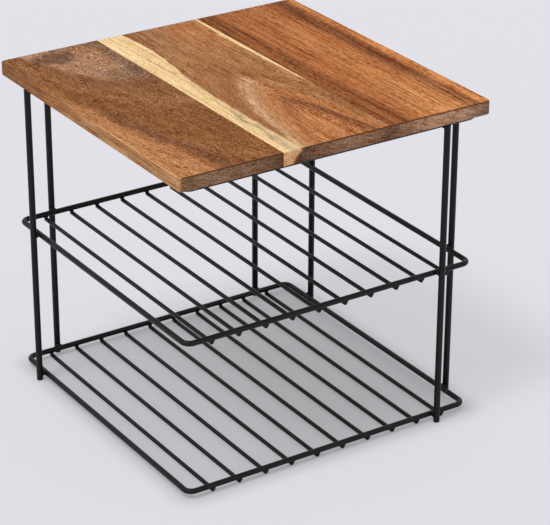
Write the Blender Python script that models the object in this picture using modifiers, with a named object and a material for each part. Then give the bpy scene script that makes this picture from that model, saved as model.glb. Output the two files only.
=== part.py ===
"""Two-tier kitchen rack: a board of three glued planks on a welded frame of black coated wire.

Metres, +Z up. The origin lies under the centre of the board, on the level that the feet stand on.
The planks and the cross wires run along Y. The frame has no leg at its front left corner, at -X -Y.
"""
import bmesh
import bpy
import math

# Clearance kept between two pieces that touch or are welded on the real rack.
FIT_GAP = 0.0003

# Board
BOARD_WIDTH = 0.250
BOARD_DEPTH = 0.250
BOARD_THICKNESS = 0.010
LEFT_PLANK_WIDTH = 0.079
MIDDLE_PLANK_WIDTH = 0.0855
BOARD_CORNER_RADIUS = 0.0035
BOARD_EDGE_RADIUS = 0.0008
CORNER_SEGMENTS = 5
EDGE_SEGMENTS = 2

# Wires of the frame
RIM_WIRE = 0.0040
CROSS_WIRE = 0.0030
LEG_WIRE = 0.0047
RIM_CORNER_RADIUS = 0.006
CORNER_STEPS = 8
TUBE_RESOLUTION = 4
CROSS_WIRE_SIDES = 12
LEG_SIDES = 20
WIRE_END_CHAMFER = 0.0004

# Places of the wires
LEG_SETBACK = 0.0005
LOWER_BAY_HEIGHT = 0.1141
UPPER_BAY_HEIGHT = 0.1123
CROSS_WIRE_COUNT = 10
CROSS_WIRE_MARGIN = 0.020
CROSS_WIRE_END_INSET = 0.0013
LEG_FROM_CROSS_WIRE = 0.0076

# Screw tabs under the board
TAB_WIDTH = 0.012
TAB_LENGTH = 0.014
TAB_THICKNESS = 0.0015
TAB_CORNER_RADIUS = 0.003
TAB_CORNER_SEGMENTS = 3

# Pan head screws
SCREW_HEAD_WIDTH = 0.0070
SCREW_HEAD_HEIGHT = 0.0022
SCREW_HEAD_SIDE = 0.0007
SCREW_SHANK = 0.0032
SCREW_BITE_SHARE = 0.7
SCREW_TIP_SHARE = 0.35
SCREW_DOME_STEPS = 3
SCREW_STEPS = 16
RECESS_LENGTH = 0.0036
RECESS_WIDTH = 0.0008
RECESS_DEPTH = 0.0011

# Cutters reach this far past the face that they open. Turned profiles merge on their axis.
CUT_OVERRUN = 0.001
AXIS_MERGE = 0.00001
SHARP_ANGLE = math.radians(35)
ROUND_PROFILE_SHARE = 0.5

# The frame's rims stand inside the legs, and the legs inside the board's edges.
RIM_INSET = LEG_SETBACK + LEG_WIRE + FIT_GAP + RIM_WIRE / 2
RIM_HALF_X = BOARD_WIDTH / 2 - RIM_INSET
RIM_HALF_Y = BOARD_DEPTH / 2 - RIM_INSET
LEG_REACH = RIM_WIRE / 2 + FIT_GAP + LEG_WIRE / 2
LEG_INSET = CROSS_WIRE_MARGIN + LEG_FROM_CROSS_WIRE

# Heights, from the floor up. Cross wires lie under their rim, and end short of its outer side.
# Those of the lower shelf reach the floor, as the feet do.
CROSS_WIRE_DROP = RIM_WIRE / 2 + FIT_GAP + CROSS_WIRE / 2
LOWER_RIM_Z = CROSS_WIRE / 2 + CROSS_WIRE_DROP
UPPER_RIM_Z = LOWER_RIM_Z + LOWER_BAY_HEIGHT
TOP_RIM_Z = UPPER_RIM_Z + UPPER_BAY_HEIGHT
BOARD_BOTTOM_Z = TOP_RIM_Z + RIM_WIRE / 2 + FIT_GAP
BOARD_MIDDLE_Z = BOARD_BOTTOM_Z + BOARD_THICKNESS / 2

# Tabs lie against the board, level with the rim's top, and their screws stand against the tabs.
# A tab starts where its lower edge clears the rim's round side.
TAB_TOP_Z = BOARD_BOTTOM_Z - FIT_GAP
TAB_ABOVE_RIM = max(0.0, TAB_TOP_Z - TAB_THICKNESS - TOP_RIM_Z)
TAB_START = math.sqrt(max(0.0, (RIM_WIRE / 2 + FIT_GAP) ** 2 - TAB_ABOVE_RIM ** 2))
TAB_HOLE_REACH = TAB_START + TAB_LENGTH - TAB_WIDTH / 2
SCREW_SEAT_Z = TAB_TOP_Z - TAB_THICKNESS - FIT_GAP
SCREW_BITE = BOARD_THICKNESS * SCREW_BITE_SHARE
SCREW_TIP_Z = BOARD_BOTTOM_Z + SCREW_BITE
HOLE_RADIUS = SCREW_SHANK / 2 + FIT_GAP

# Each leg: its name, the outward direction of the side that it stands on, and its end of that side.
LEG_PLACES = (
    ("leg_left_side_back", (-1, 0), 1),
    ("leg_back_side_left", (0, 1), -1),
    ("leg_back_side_right", (0, 1), 1),
    ("leg_right_side_back", (1, 0), 1),
    ("leg_right_side_front", (1, 0), -1),
    ("leg_front_side_right", (0, -1), 1),
)

# Each side of the board that has a screw tab, with its outward direction.
TAB_SIDES = (
    ("left", (-1, 0)),
    ("back", (0, 1)),
    ("right", (1, 0)),
    ("front", (0, -1)),
)


def clear_scene():
    for old in list(bpy.data.objects):
        bpy.data.objects.remove(old, do_unlink=True)


def new_collection(name):
    collection = bpy.data.collections.new(name)
    bpy.context.scene.collection.children.link(collection)
    return collection


def new_material(name, colour, roughness, metallic):
    material = bpy.data.materials.new(name)
    material.use_nodes = True
    shader = material.node_tree.nodes["Principled BSDF"]
    shader.inputs["Base Color"].default_value = (*colour, 1.0)
    shader.inputs["Roughness"].default_value = roughness
    shader.inputs["Metallic"].default_value = metallic
    material.diffuse_color = (*colour, 1.0)
    return material


def black_coating():
    return new_material("black_powder_coat", (0.012, 0.012, 0.012), 0.42, 0.0)


def zinc_steel():
    return new_material("zinc_plated_steel", (0.55, 0.55, 0.53), 0.35, 1.0)


def brown_heartwood():
    return new_material("brown_acacia", (0.30, 0.15, 0.07), 0.5, 0.0)


def banded_wood():
    return new_material("banded_acacia", (0.42, 0.25, 0.11), 0.5, 0.0)


def red_heartwood():
    return new_material("red_acacia", (0.28, 0.11, 0.045), 0.5, 0.0)


def add_object(name, data, collection, material):
    """Link a new object for a mesh or a curve, and give its data the material once."""
    piece = bpy.data.objects.new(name, data)
    collection.objects.link(piece)
    if material is not None and not data.materials:
        data.materials.append(material)
    return piece


def mesh_from(bm, name):
    """Turn a bmesh into a mesh that is smooth round its curves and crisp at its edges."""
    mesh = bpy.data.meshes.new(name)
    bm.to_mesh(mesh)
    bm.free()
    mesh.shade_smooth()
    mesh.set_sharp_from_angle(angle=SHARP_ANGLE)
    return mesh


def side_position(outward, reach, along=0.0):
    """A point beside the rim: reach outward from a side's centreline, and along from its middle."""
    x_out, y_out = outward
    x = x_out * (RIM_HALF_X + reach) + abs(y_out) * along
    y = y_out * (RIM_HALF_Y + reach) + abs(x_out) * along
    return x, y


def rounded_rectangle(half_x, half_y, radius, steps):
    """Points of a rectangle with round corners, in the XY plane, counterclockwise."""
    points = []
    centres = ((1, 1), (-1, 1), (-1, -1), (1, -1))
    for quarter, (x_sign, y_sign) in enumerate(centres):
        for step in range(steps + 1):
            angle = math.radians(90) * (quarter + step / steps)
            x = x_sign * (half_x - radius) + radius * math.cos(angle)
            y = y_sign * (half_y - radius) + radius * math.sin(angle)
            points.append((x, y, 0.0))
    return points


def rim_curve(name):
    """A closed wire bent round a square with round corners."""
    curve = bpy.data.curves.new(name, "CURVE")
    curve.dimensions = "3D"
    curve.bevel_depth = RIM_WIRE / 2
    curve.bevel_resolution = TUBE_RESOLUTION
    curve.use_fill_caps = True
    points = rounded_rectangle(RIM_HALF_X, RIM_HALF_Y, RIM_CORNER_RADIUS, CORNER_STEPS)
    spline = curve.splines.new("POLY")
    spline.points.add(len(points) - 1)
    for point, place in zip(spline.points, points):
        point.co = (*place, 1.0)
    spline.use_cyclic_u = True
    return curve


def rod_mesh(name, length, diameter, sides):
    """A straight cut wire along Z, its two ends chamfered."""
    bm = bmesh.new()
    radius = diameter / 2
    bmesh.ops.create_cone(
        bm, cap_ends=True, segments=sides, radius1=radius, radius2=radius, depth=length
    )
    end_edges = [edge for edge in bm.edges if edge.verts[0].co.z * edge.verts[1].co.z > 0]
    bmesh.ops.bevel(bm, geom=end_edges, offset=WIRE_END_CHAMFER, segments=1, affect="EDGES")
    return mesh_from(bm, name)


def box_bmesh(size):
    """A unit cube scaled to a box of the size given, centred on its origin."""
    bm = bmesh.new()
    bmesh.ops.create_cube(bm, size=1)
    bmesh.ops.scale(bm, vec=size, verts=bm.verts)
    return bm


def along_axis(edge, axis):
    """Whether an edge runs along one axis of its box: 0 for X, 1 for Y, 2 for Z."""
    direction = (edge.verts[1].co - edge.verts[0].co).normalized()
    return abs(direction[axis]) > math.cos(SHARP_ANGLE)


def plank_mesh(name, width, outer_signs):
    """A plank with its outer corners rounded and its outer edges eased, and its glued faces flat."""
    bm = box_bmesh((width, BOARD_DEPTH, BOARD_THICKNESS))
    glued_signs = {-1, 1} - set(outer_signs)

    def on_side(edge, signs):
        return any(all(vert.co.x * sign > 0 for vert in edge.verts) for sign in signs)

    corner_edges = [edge for edge in bm.edges if along_axis(edge, 2) and on_side(edge, outer_signs)]
    if corner_edges:
        bmesh.ops.bevel(
            bm,
            geom=corner_edges,
            offset=BOARD_CORNER_RADIUS,
            segments=CORNER_SEGMENTS,
            profile=ROUND_PROFILE_SHARE,
            affect="EDGES",
        )

    def is_glued(edge):
        return along_axis(edge, 1) and on_side(edge, glued_signs)

    outline_edges = [edge for edge in bm.edges if not along_axis(edge, 2) and not is_glued(edge)]
    bmesh.ops.bevel(
        bm,
        geom=outline_edges,
        offset=BOARD_EDGE_RADIUS,
        segments=EDGE_SEGMENTS,
        profile=ROUND_PROFILE_SHARE,
        affect="EDGES",
    )
    return mesh_from(bm, name)


def make_planks(collection):
    """The board, from left to right, with a glue line of the fit gap between its planks."""
    left_edge = -BOARD_WIDTH / 2
    first_seam = left_edge + LEFT_PLANK_WIDTH
    second_seam = first_seam + MIDDLE_PLANK_WIDTH
    half_gap = FIT_GAP / 2
    rows = (
        ("plank_left", left_edge, first_seam - half_gap, (-1,), brown_heartwood()),
        ("plank_middle", first_seam + half_gap, second_seam - half_gap, (), banded_wood()),
        ("plank_right", second_seam + half_gap, -left_edge, (1,), red_heartwood()),
    )
    planks = []
    for name, low_x, high_x, outer_signs, material in rows:
        mesh = plank_mesh(name, high_x - low_x, outer_signs)
        plank = add_object(name, mesh, collection, material)
        plank.location = ((low_x + high_x) / 2, 0.0, BOARD_MIDDLE_Z)
        planks.append((plank, low_x, high_x))
    return planks


def make_shelf(name, rim_z, collection, material, wire_mesh):
    """A rim with its row of cross wires, carried by an empty at the height of the rim."""
    shelf = bpy.data.objects.new(name + "_shelf", None)
    collection.objects.link(shelf)
    shelf.location = (0.0, 0.0, rim_z)
    rim = add_object(name + "_rim", rim_curve(name + "_rim"), collection, material)
    rim.parent = shelf
    first_x = CROSS_WIRE_MARGIN - RIM_HALF_X
    pitch = -2 * first_x / (CROSS_WIRE_COUNT - 1)
    for index in range(CROSS_WIRE_COUNT):
        wire_name = f"{name}_cross_wire_{index + 1:02d}"
        wire = add_object(wire_name, wire_mesh, collection, material)
        wire.parent = shelf
        wire.location = (first_x + index * pitch, 0.0, -CROSS_WIRE_DROP)
        wire.rotation_euler = (math.radians(90), 0.0, 0.0)


def make_legs(collection, material):
    """Six straight legs, welded to the outside of the rims, two at each corner but the open one."""
    height = BOARD_BOTTOM_Z - FIT_GAP
    mesh = rod_mesh("leg", height, LEG_WIRE, LEG_SIDES)
    for name, outward, end in LEG_PLACES:
        side_half = RIM_HALF_Y if outward[0] else RIM_HALF_X
        leg = add_object(name, mesh, collection, material)
        x, y = side_position(outward, LEG_REACH, end * (side_half - LEG_INSET))
        leg.location = (x, y, height / 2)


def make_top_rim(collection, material):
    rim = add_object("top_rim", rim_curve("top_rim"), collection, material)
    rim.location = (0.0, 0.0, TOP_RIM_Z)


def tab_mesh(name):
    """A flat tab reaching along +X from the rim's centreline, its free corners rounded."""
    bm = box_bmesh((TAB_LENGTH, TAB_WIDTH, TAB_THICKNESS))
    free_corners = [
        edge for edge in bm.edges if along_axis(edge, 2) and all(vert.co.x > 0 for vert in edge.verts)
    ]
    bmesh.ops.bevel(
        bm,
        geom=free_corners,
        offset=TAB_CORNER_RADIUS,
        segments=TAB_CORNER_SEGMENTS,
        profile=ROUND_PROFILE_SHARE,
        affect="EDGES",
    )
    bmesh.ops.translate(bm, vec=(TAB_START + TAB_LENGTH / 2, 0.0, -TAB_THICKNESS / 2), verts=bm.verts)
    return mesh_from(bm, name)


def add_cutter(name, mesh, cutters):
    cutter = add_object(name, mesh, cutters, None)
    cutter.hide_render = True
    cutter.display_type = "WIRE"
    return cutter


def cut(piece, cutter):
    boolean = piece.modifiers.new("cut_" + cutter.name, "BOOLEAN")
    boolean.operation = "DIFFERENCE"
    boolean.solver = "EXACT"
    boolean.object = cutter


def cylinder_mesh(name, radius, low_z, high_z, sides):
    bm = bmesh.new()
    bmesh.ops.create_cone(
        bm, cap_ends=True, segments=sides, radius1=radius, radius2=radius, depth=high_z - low_z
    )
    bmesh.ops.translate(bm, vec=(0.0, 0.0, (low_z + high_z) / 2), verts=bm.verts)
    return mesh_from(bm, name)


def make_tabs(collection, cutters, material):
    """Four tabs welded to the inside of the top rim, each with a hole for its screw."""
    low_z = TAB_TOP_Z - TAB_THICKNESS - CUT_OVERRUN
    hole_mesh = cylinder_mesh("screw_hole", HOLE_RADIUS, low_z, SCREW_TIP_Z + FIT_GAP, SCREW_STEPS)
    holes = []
    for side, outward in TAB_SIDES:
        tab = add_object("screw_tab_" + side, tab_mesh("screw_tab_" + side), collection, material)
        tab.location = (*side_position(outward, 0.0), TAB_TOP_Z)
        tab.rotation_euler = (0.0, 0.0, math.atan2(-outward[1], -outward[0]))
        hole = add_cutter("screw_hole_" + side, hole_mesh, cutters)
        hole.location = (*side_position(outward, -TAB_HOLE_REACH), 0.0)
        cut(tab, hole)
        holes.append(hole)
    return holes


def drill_planks(planks, holes):
    """Sink each screw's hole into the plank above it, or into both planks beside a seam."""
    for plank, low_x, high_x in planks:
        for hole in holes:
            if low_x - HOLE_RADIUS < hole.location.x < high_x + HOLE_RADIUS:
                cut(plank, hole)


def screw_profile():
    """Half outline of a screw whose head hangs below its seat at Z 0, from the tip down."""
    head_radius = SCREW_HEAD_WIDTH / 2
    shank_radius = SCREW_SHANK / 2
    tip_z = SCREW_TIP_Z - SCREW_SEAT_Z
    points = [(0.0, tip_z), (shank_radius, tip_z - SCREW_BITE * SCREW_TIP_SHARE), (shank_radius, 0.0)]
    points.append((head_radius, 0.0))
    dome_height = SCREW_HEAD_HEIGHT - SCREW_HEAD_SIDE
    for step in range(SCREW_DOME_STEPS):
        angle = math.radians(90) * step / SCREW_DOME_STEPS
        x = head_radius * math.cos(angle)
        points.append((x, -SCREW_HEAD_SIDE - dome_height * math.sin(angle)))
    points.append((0.0, -SCREW_HEAD_HEIGHT))
    return points


def turned_screw(collection):
    """One screw: its outline turned about Z."""
    profile = screw_profile()
    mesh = bpy.data.meshes.new("screw_outline")
    edges = [(index, index + 1) for index in range(len(profile) - 1)]
    mesh.from_pydata([(x, 0.0, z) for x, z in profile], edges, [])
    screw = add_object("screw_outline", mesh, collection, None)
    turn = screw.modifiers.new("turn", "SCREW")
    turn.steps = SCREW_STEPS
    turn.render_steps = SCREW_STEPS
    turn.use_merge_vertices = True
    turn.merge_threshold = AXIS_MERGE
    return screw


def make_screws(collection, cutters, material, holes):
    """Four identical screws that share one mesh, with a cross recess in each head."""
    screw = turned_screw(collection)
    recess_size = (RECESS_LENGTH, RECESS_WIDTH, RECESS_DEPTH + CUT_OVERRUN)
    recess_z = -SCREW_HEAD_HEIGHT + RECESS_DEPTH - recess_size[2] / 2
    for turn in range(2):
        slot_mesh = mesh_from(box_bmesh(recess_size), "recess")
        slot = add_cutter(f"recess_{turn + 1}", slot_mesh, cutters)
        slot.location = (0.0, 0.0, recess_z)
        slot.rotation_euler = (0.0, 0.0, math.radians(90) * turn)
        cut(screw, slot)
    bpy.context.view_layer.update()
    mesh = bpy.data.meshes.new_from_object(screw.evaluated_get(bpy.context.evaluated_depsgraph_get()))
    mesh.name = "board_screw"
    mesh.shade_smooth()
    mesh.set_sharp_from_angle(angle=SHARP_ANGLE)
    bpy.data.objects.remove(screw, do_unlink=True)
    for (side, _), hole in zip(TAB_SIDES, holes):
        copy = add_object("board_screw_" + side, mesh, collection, material)
        copy.location = (hole.location.x, hole.location.y, SCREW_SEAT_Z)


def build():
    clear_scene()
    rack = new_collection("two_tier_kitchen_rack")
    cutters = new_collection("cutters")
    coating = black_coating()
    planks = make_planks(rack)
    make_top_rim(rack, coating)
    wire_length = 2 * (RIM_HALF_Y + RIM_WIRE / 2 - CROSS_WIRE_END_INSET)
    wire_mesh = rod_mesh("cross_wire", wire_length, CROSS_WIRE, CROSS_WIRE_SIDES)
    make_shelf("upper", UPPER_RIM_Z, rack, coating, wire_mesh)
    make_shelf("lower", LOWER_RIM_Z, rack, coating, wire_mesh)
    make_legs(rack, coating)
    holes = make_tabs(rack, cutters, coating)
    drill_planks(planks, holes)
    make_screws(rack, cutters, zinc_steel(), holes)


build()
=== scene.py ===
"""Looks of the two-tier kitchen rack: a glued acacia board on a welded frame of black coated wire.

Metres, +Z up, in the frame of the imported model. The planks and the cross wires run along Y.
"""
import bmesh
import bpy
import math
from mathutils import Matrix, Vector


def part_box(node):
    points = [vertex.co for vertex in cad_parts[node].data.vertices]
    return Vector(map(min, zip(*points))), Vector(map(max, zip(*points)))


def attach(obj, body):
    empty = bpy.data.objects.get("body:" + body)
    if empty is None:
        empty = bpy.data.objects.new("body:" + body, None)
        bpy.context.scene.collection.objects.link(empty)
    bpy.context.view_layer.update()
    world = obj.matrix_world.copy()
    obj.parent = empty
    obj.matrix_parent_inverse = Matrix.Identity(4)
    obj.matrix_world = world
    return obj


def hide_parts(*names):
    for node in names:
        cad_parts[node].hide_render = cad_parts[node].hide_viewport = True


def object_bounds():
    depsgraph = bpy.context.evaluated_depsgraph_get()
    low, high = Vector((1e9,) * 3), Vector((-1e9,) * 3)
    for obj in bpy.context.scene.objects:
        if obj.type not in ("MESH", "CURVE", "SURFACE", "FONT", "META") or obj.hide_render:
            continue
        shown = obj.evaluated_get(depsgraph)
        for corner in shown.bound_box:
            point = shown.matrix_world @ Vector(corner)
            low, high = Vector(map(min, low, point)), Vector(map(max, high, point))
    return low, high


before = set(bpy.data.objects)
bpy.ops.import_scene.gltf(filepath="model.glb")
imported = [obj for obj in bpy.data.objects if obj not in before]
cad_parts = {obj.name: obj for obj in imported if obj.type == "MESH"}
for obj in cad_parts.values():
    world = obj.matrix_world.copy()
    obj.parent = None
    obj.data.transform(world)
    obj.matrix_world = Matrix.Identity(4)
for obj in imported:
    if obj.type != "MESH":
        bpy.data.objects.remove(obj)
CAD_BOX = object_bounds()

MILLIMETRE = 0.001
QUARTER_TURN = math.radians(90)

# Board
BOARD_CORNER_RADIUS = 0.0035
BOARD_CORNER_SEGMENTS = 12
BOARD_EDGE_RADIUS = 0.0008
BOARD_EDGE_SEGMENTS = 5
GLUE_LINE = 0.00002
SCREW_HOLE_RADIUS = 0.0019
SCREW_HOLE_DEPTH = 0.0073
HOLE_OVERRUN = 0.001
HOLE_SIDES = 32
ROUND_PROFILE_SHARE = 0.5

# Wires
RIM_CORNER_RADIUS = 0.006
RIM_CORNER_STEPS = 20
RIM_RESOLUTION = 6
WIRE_SIDES = 24
LEG_END_ROUNDING = 0.0007
CROSS_END_ROUNDING = 0.0013
WIRE_END_STEPS = 5
WELD_MARGIN = 0.004

# Welds: half sizes of the soft swelling of coated metal between two wires that cross.
WELD_SEGMENTS = 20
CROSS_WELD = (0.0018, 0.0018, 0.0013)
LEG_WELD = (0.0014, 0.0028, 0.0026)
TAB_WELD = (0.0012, 0.0056, 0.0009)

# Screw tabs and screws
TAB_CORNER_RADIUS = 0.003
TAB_CORNER_SEGMENTS = 8
TAB_EDGE_RADIUS = 0.00025
TAB_EDGE_SEGMENTS = 3
TAB_HOLE_INSET = 0.006
SCREW_SHANK_RADIUS = 0.0016
SCREW_HEAD_HEIGHT = 0.0022
SCREW_HEAD_SIDE = 0.0006
SCREW_TIP_LENGTH = 0.0024
SCREW_DOME_STEPS = 8
SCREW_TURN_STEPS = 48
RECESS_LENGTH = 0.0036
RECESS_WIDTH = 0.0008
RECESS_DEPTH = 0.0011
RECESS_TAPER_SHARE = 0.55
AXIS_MERGE = 0.00001
SHARP_ANGLE = math.radians(35)

# Camera
CAMERA_PLACE = (-0.8209, -1.3005, 0.8439)
CAMERA_AZIMUTH = math.radians(-33.171)
CAMERA_ELEVATION = math.radians(25.753)
CAMERA_ROLL = math.radians(0.226)
CAMERA_LENS = 153.49
CAMERA_SENSOR = 36.0

# Light. Each level is the share of white that a lamp gives to a level surface; they add up to 1.
AMBIENT_LEVEL = 0.44
OVERHEAD_LEVEL = 0.34
OVERHEAD_BEARING = math.radians(180)
OVERHEAD_HEIGHT = math.radians(89.5)
OVERHEAD_SOFTNESS = math.radians(5)
KEY_LEVEL = 0.22
KEY_BEARING = math.radians(188)
KEY_HEIGHT = math.radians(64)
KEY_SOFTNESS = math.radians(16)
FLOOR_SIZE = 40.0
FLOOR_COLOUR = (227, 223, 232)
FLOOR_GLOW_COLOUR = (227, 232, 235)
FLOOR_GLOW_SHARE = 0.30
BACKDROP_COLOUR = (227, 226, 233)

# Wood. Every place and pitch is in millimetres: across the grain, along it and through the board.
# A fade is a range, and the shares at its two ends where these aren't 0 and 1.
# A calm is how much less contrast the grain has somewhere, or how much more where it is negative.
# Noise is a seed, pitches and detail, with no seed given where it is the plank's own.
# Specks are noise, with the values at which they begin and are full, and their strength if not 1.
MIDDLE_TONE = 0.5
NOISE_MIDDLE = 0.5
WARP_PITCHES = (26, 44, 26)
WARP_DETAIL = 2.0
# The grain's lines, streaks, speckle and mottle: the pitches and the detail of each.
GRAIN_LAYERS = (
    ((1.15, 38, 1.15), 2.0),
    ((4.4, 95, 4.4), 3.0),
    ((0.75, 2.0, 0.75), 1.0),
    ((6, 11, 6), 3.0),
)
# Each plank's strengths of lines, streaks, speckle and mottle.
LEFT_GRAIN = (1.9, 0.7, 2.9, 0.8)
MIDDLE_GRAIN = (1.5, 0.6, 1.7, 0.5)
RIGHT_GRAIN = (2.0, 0.6, 1.7, 0.5)
SIDE_GRAIN = (1.9, 0.6, 1.1, 0.5)
# What the darkest and the lightest grain multiply a colour by.
DARK_GRAIN = (0.54, 0.35, 0.12, 1.0)
LIGHT_GRAIN = (1.52, 1.63, 1.76, 1.0)
SIDE_SEED_STEP = 5.0
PLANK_SEED_STEP = 20.0
PORE_SPECKS = ((0.8, 5.5, 0.8), 1.0, 0.12, 0.22)
PORE_COLOUR = (74, 42, 24)
# How strong the pores are in heartwood and in sapwood.
PORE_STRENGTHS = (0.6, 0.2)
WOOD_ROUGHNESS = 0.62
TONE_ROUGHNESS = -0.15
PORE_ROUGHNESS = 0.2
WOOD_SPECULAR = 0.06
FIBRES = ((0.5, 14, 0.5), 2.0)
FIBRE_HEIGHT = 0.7
PORE_HEIGHT = -0.9
WOOD_BUMP = 0.00008

# Left plank: growth rings that curve round its back, an orange front left corner and a dark smudge.
LEFT_SEED = 3.0
LEFT_RING_MIDDLE = 62.5
LEFT_RING_SPREAD = 28.8
LEFT_WARP = 14
LEFT_BANDS = (
    (0, (140, 95, 59)), (24, (158, 112, 77)), (40, (160, 116, 84)),
    (58, (164, 122, 92)), (68, (156, 112, 80)), (75, (158, 112, 78)),
    (81, (150, 104, 68)), (87, (141, 96, 60)), (95, (130, 86, 50)),
    (110, (135, 89, 51)), (124, (140, 93, 55)), (132, (146, 98, 59)),
    (150, (134, 86, 46)), (200, (132, 83, 41)), (236, (144, 94, 53)),
    (262, (136, 87, 47)),
)
# The grain follows the rings near the back.
RING_LINE_SHARE = 0.7
RING_GRAIN_FADE = (100, 80, 0.0, 0.6)
# Thin pale rings among them: the place, half the width and the strength of each.
PALE_RINGS = ((79.0, 1.5, 1.0), (74.0, 1.0, 0.9), (84.5, 0.9, 0.8), (66.0, 0.9, 0.6))
PALE_COLOUR = (216, 178, 148)
PALE_RING_SPECKS = (41.0, (6, 6, 6), 3.0, -0.06, 0.12)
GLINT_SPECKS = (47.0, (0.7, 3.0, 0.7), 3.0, -0.02, 0.2, 0.85)
GLINT_FADE = (92, 66)
FLECK_SPECKS = (51.0, (5, 2.2, 5), 3.0, 0.1, 0.22, 0.5)
FLECK_PATCHES = (53.0, (22, 26, 22), 1.0, 0.04, 0.16)
FLECK_FADE = (85, 110)
# Shades at the glued edge (across, by the ring, the light), at the outer edge near the back (across,
# along, the light) and round the pale rings.
SEAM_SHADE = ((63, 74), (100, 60), 0.57)
EDGE_SHADE = ((6, 1), (10, 120, 1.0, 0.0), 0.68)
RING_SHADE_ACROSS = (42, 56)
RING_SHADE_PLACE = (72, 28)
RING_SHADE_LIGHT = 0.70
# How far the orange wood reaches from the left edge: share of the depth, share of the widest.
ORANGE_WIDEST = 38
ORANGE_SHARES = (
    (0.0, 0.04), (0.22, 0.08), (0.36, 0.16), (0.5, 0.27),
    (0.66, 0.46), (0.84, 0.68), (1.0, 0.86),
)
ORANGE_FADE = (6.0, -11.0)
ORANGE_CALM = 0.3
ORANGE_COLOUR = (184, 128, 82)
ORANGE_RIM_PLACE = (6.0, 8.0)
ORANGE_RIM_FADE = (70, 150, 0.0, 0.75)
ORANGE_RIM_COLOUR = (116, 73, 46)
SMUDGE_PLACE = (34, 17)
SMUDGE_SIZE = (20, 15)
SMUDGE_BLOTCHES = ((5, 8, 5), 3.0)
SMUDGE_RAGGEDNESS = 2.5
SMUDGE_FADE = (0.0, 1.3, 0.85, 0.0)
SMUDGE_COLOUR = (86, 54, 38)

# Middle plank: arches of heartwood that open to the front.
MIDDLE_SEED = 11.0
ARCH_MIDDLE = 129.5
ARCH_SIDES = (-7, 7)
ARCH_ROUNDING = 4
ARCH_STEEPNESS = (0.0206, -1.15)
ARCH_LEAST_STEEPNESS = 0.6
ARCH_WARP = 7
ARCH_LEFT_BANDS = (
    (-120, (150, 104, 68)), (10, (158, 112, 74)), (60, (166, 116, 73)),
    (95, (158, 107, 66)), (112, (154, 102, 62)), (121, (178, 132, 94)),
    (131, (192, 146, 108)), (142, (190, 140, 98)), (152, (188, 130, 84)),
    (166, (184, 120, 72)), (174, (156, 99, 57)), (182, (166, 106, 62)),
    (200, (186, 123, 75)), (250, (182, 119, 72)),
)
ARCH_RIGHT_BANDS = (
    (-120, (172, 112, 66)), (20, (176, 118, 72)), (70, (170, 118, 75)),
    (100, (162, 110, 66)), (118, (156, 102, 58)), (126, (170, 118, 72)),
    (134, (164, 110, 64)), (148, (180, 116, 66)), (158, (176, 110, 62)),
    (164, (128, 78, 44)), (172, (132, 80, 46)), (182, (160, 100, 58)),
    (205, (182, 119, 70)), (250, (176, 113, 68)),
)
# Pale broken flecks along the outer arch: the place, half the width, and each leg's strength.
ARCH_CREST = (127, 9)
ARCH_CREST_STRENGTHS = (0.9, 0.18)
ARCH_CREST_COLOUR = (226, 188, 150)
ARCH_CREST_SPECKS = (63.0, (1.6, 20, 1.6), 3.0, -0.06, 0.12)
# The grain follows the arches near the front, outside their core, and is sharper on the right.
ARCH_LINE_SHARE = 0.32
ARCH_LENGTH_SHARE = 0.6
ARCH_GRAIN_FADE = (95, 140, 0.0, 0.55)
ARCH_CORE_FADE = (186, 166)
RIGHT_LEG_FADE = (95, 140)
RIGHT_LEG_CALM = -0.7

# Right plank: straight grain, by distance from its glued edge, lighter to the front.
RIGHT_SEED = 17.0
RIGHT_WARP_PITCHES = (16, 110, 16)
RIGHT_WARP = 7
RIGHT_LENGTH_SHARE = 0.42
RIGHT_BANDS = (
    (-8, (138, 81, 38)), (3, (134, 77, 34)), (9, (142, 83, 38)),
    (13, (124, 69, 28)), (17, (156, 92, 45)), (22, (176, 107, 57)),
    (30, (172, 105, 56)), (40, (182, 115, 65)), (52, (186, 119, 68)),
    (60, (174, 107, 58)), (65, (150, 88, 44)), (69, (128, 72, 32)),
    (73, (120, 67, 29)), (76, (150, 89, 45)), (79, (190, 122, 65)),
    (84, (192, 124, 67)), (88, (162, 100, 51)),
)
RIGHT_FRONT_PLACE = (52, 40)
RIGHT_FRONT_FADE = (0.6, 0.95, 0.0, 0.6)
RIGHT_FRONT_COLOUR = (214, 148, 94)
RIGHT_BACK_LIGHT = (0.0, 0.3, 0.86, 1.0)
RIGHT_DARK_SPECKS = (23.0, (2.0, 60, 2.0), 3.0, 0.05, 0.2, 0.22)
RIGHT_DARK_COLOUR = (112, 62, 36)
# The grain is sharper away from the plank's middle.
RIGHT_MIDDLE = 40.0
RIGHT_SIDES_FADE = (18, 32)
RIGHT_SIDES_CALM = -0.45

# Sapwood of the middle plank, along both glued edges.
SAP_COLOUR = (243, 211, 160)
SAP_STREAK_COLOUR = (218, 182, 130)
SAP_STREAK_SPECKS = (7.0, (1.6, 60, 1.6), 3.0, 0.0, 0.2)
SAP_CALM = 0.45
SAP_WIDEST = 30
# The wide band, from the back edge to the front edge: share of the depth, share of the widest.
SAP_WIDTH_SHARES = (
    (0.0, 0.70), (0.16, 0.77), (0.29, 0.70), (0.37, 0.59),
    (0.45, 0.52), (0.6, 0.455), (0.8, 0.44), (1.0, 0.50),
)
SAP_LEAN_SHARE = 0.85
SAP_WANDER = (5.0, (3, 16, 3), 3.0)
SAP_WANDER_REACH = 4.5
SAP_EDGE = (-0.5, 0.5)
SAP_EDGE_SOFTNESS = (0.33, 0.75, 0.6, 3.6)
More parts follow.
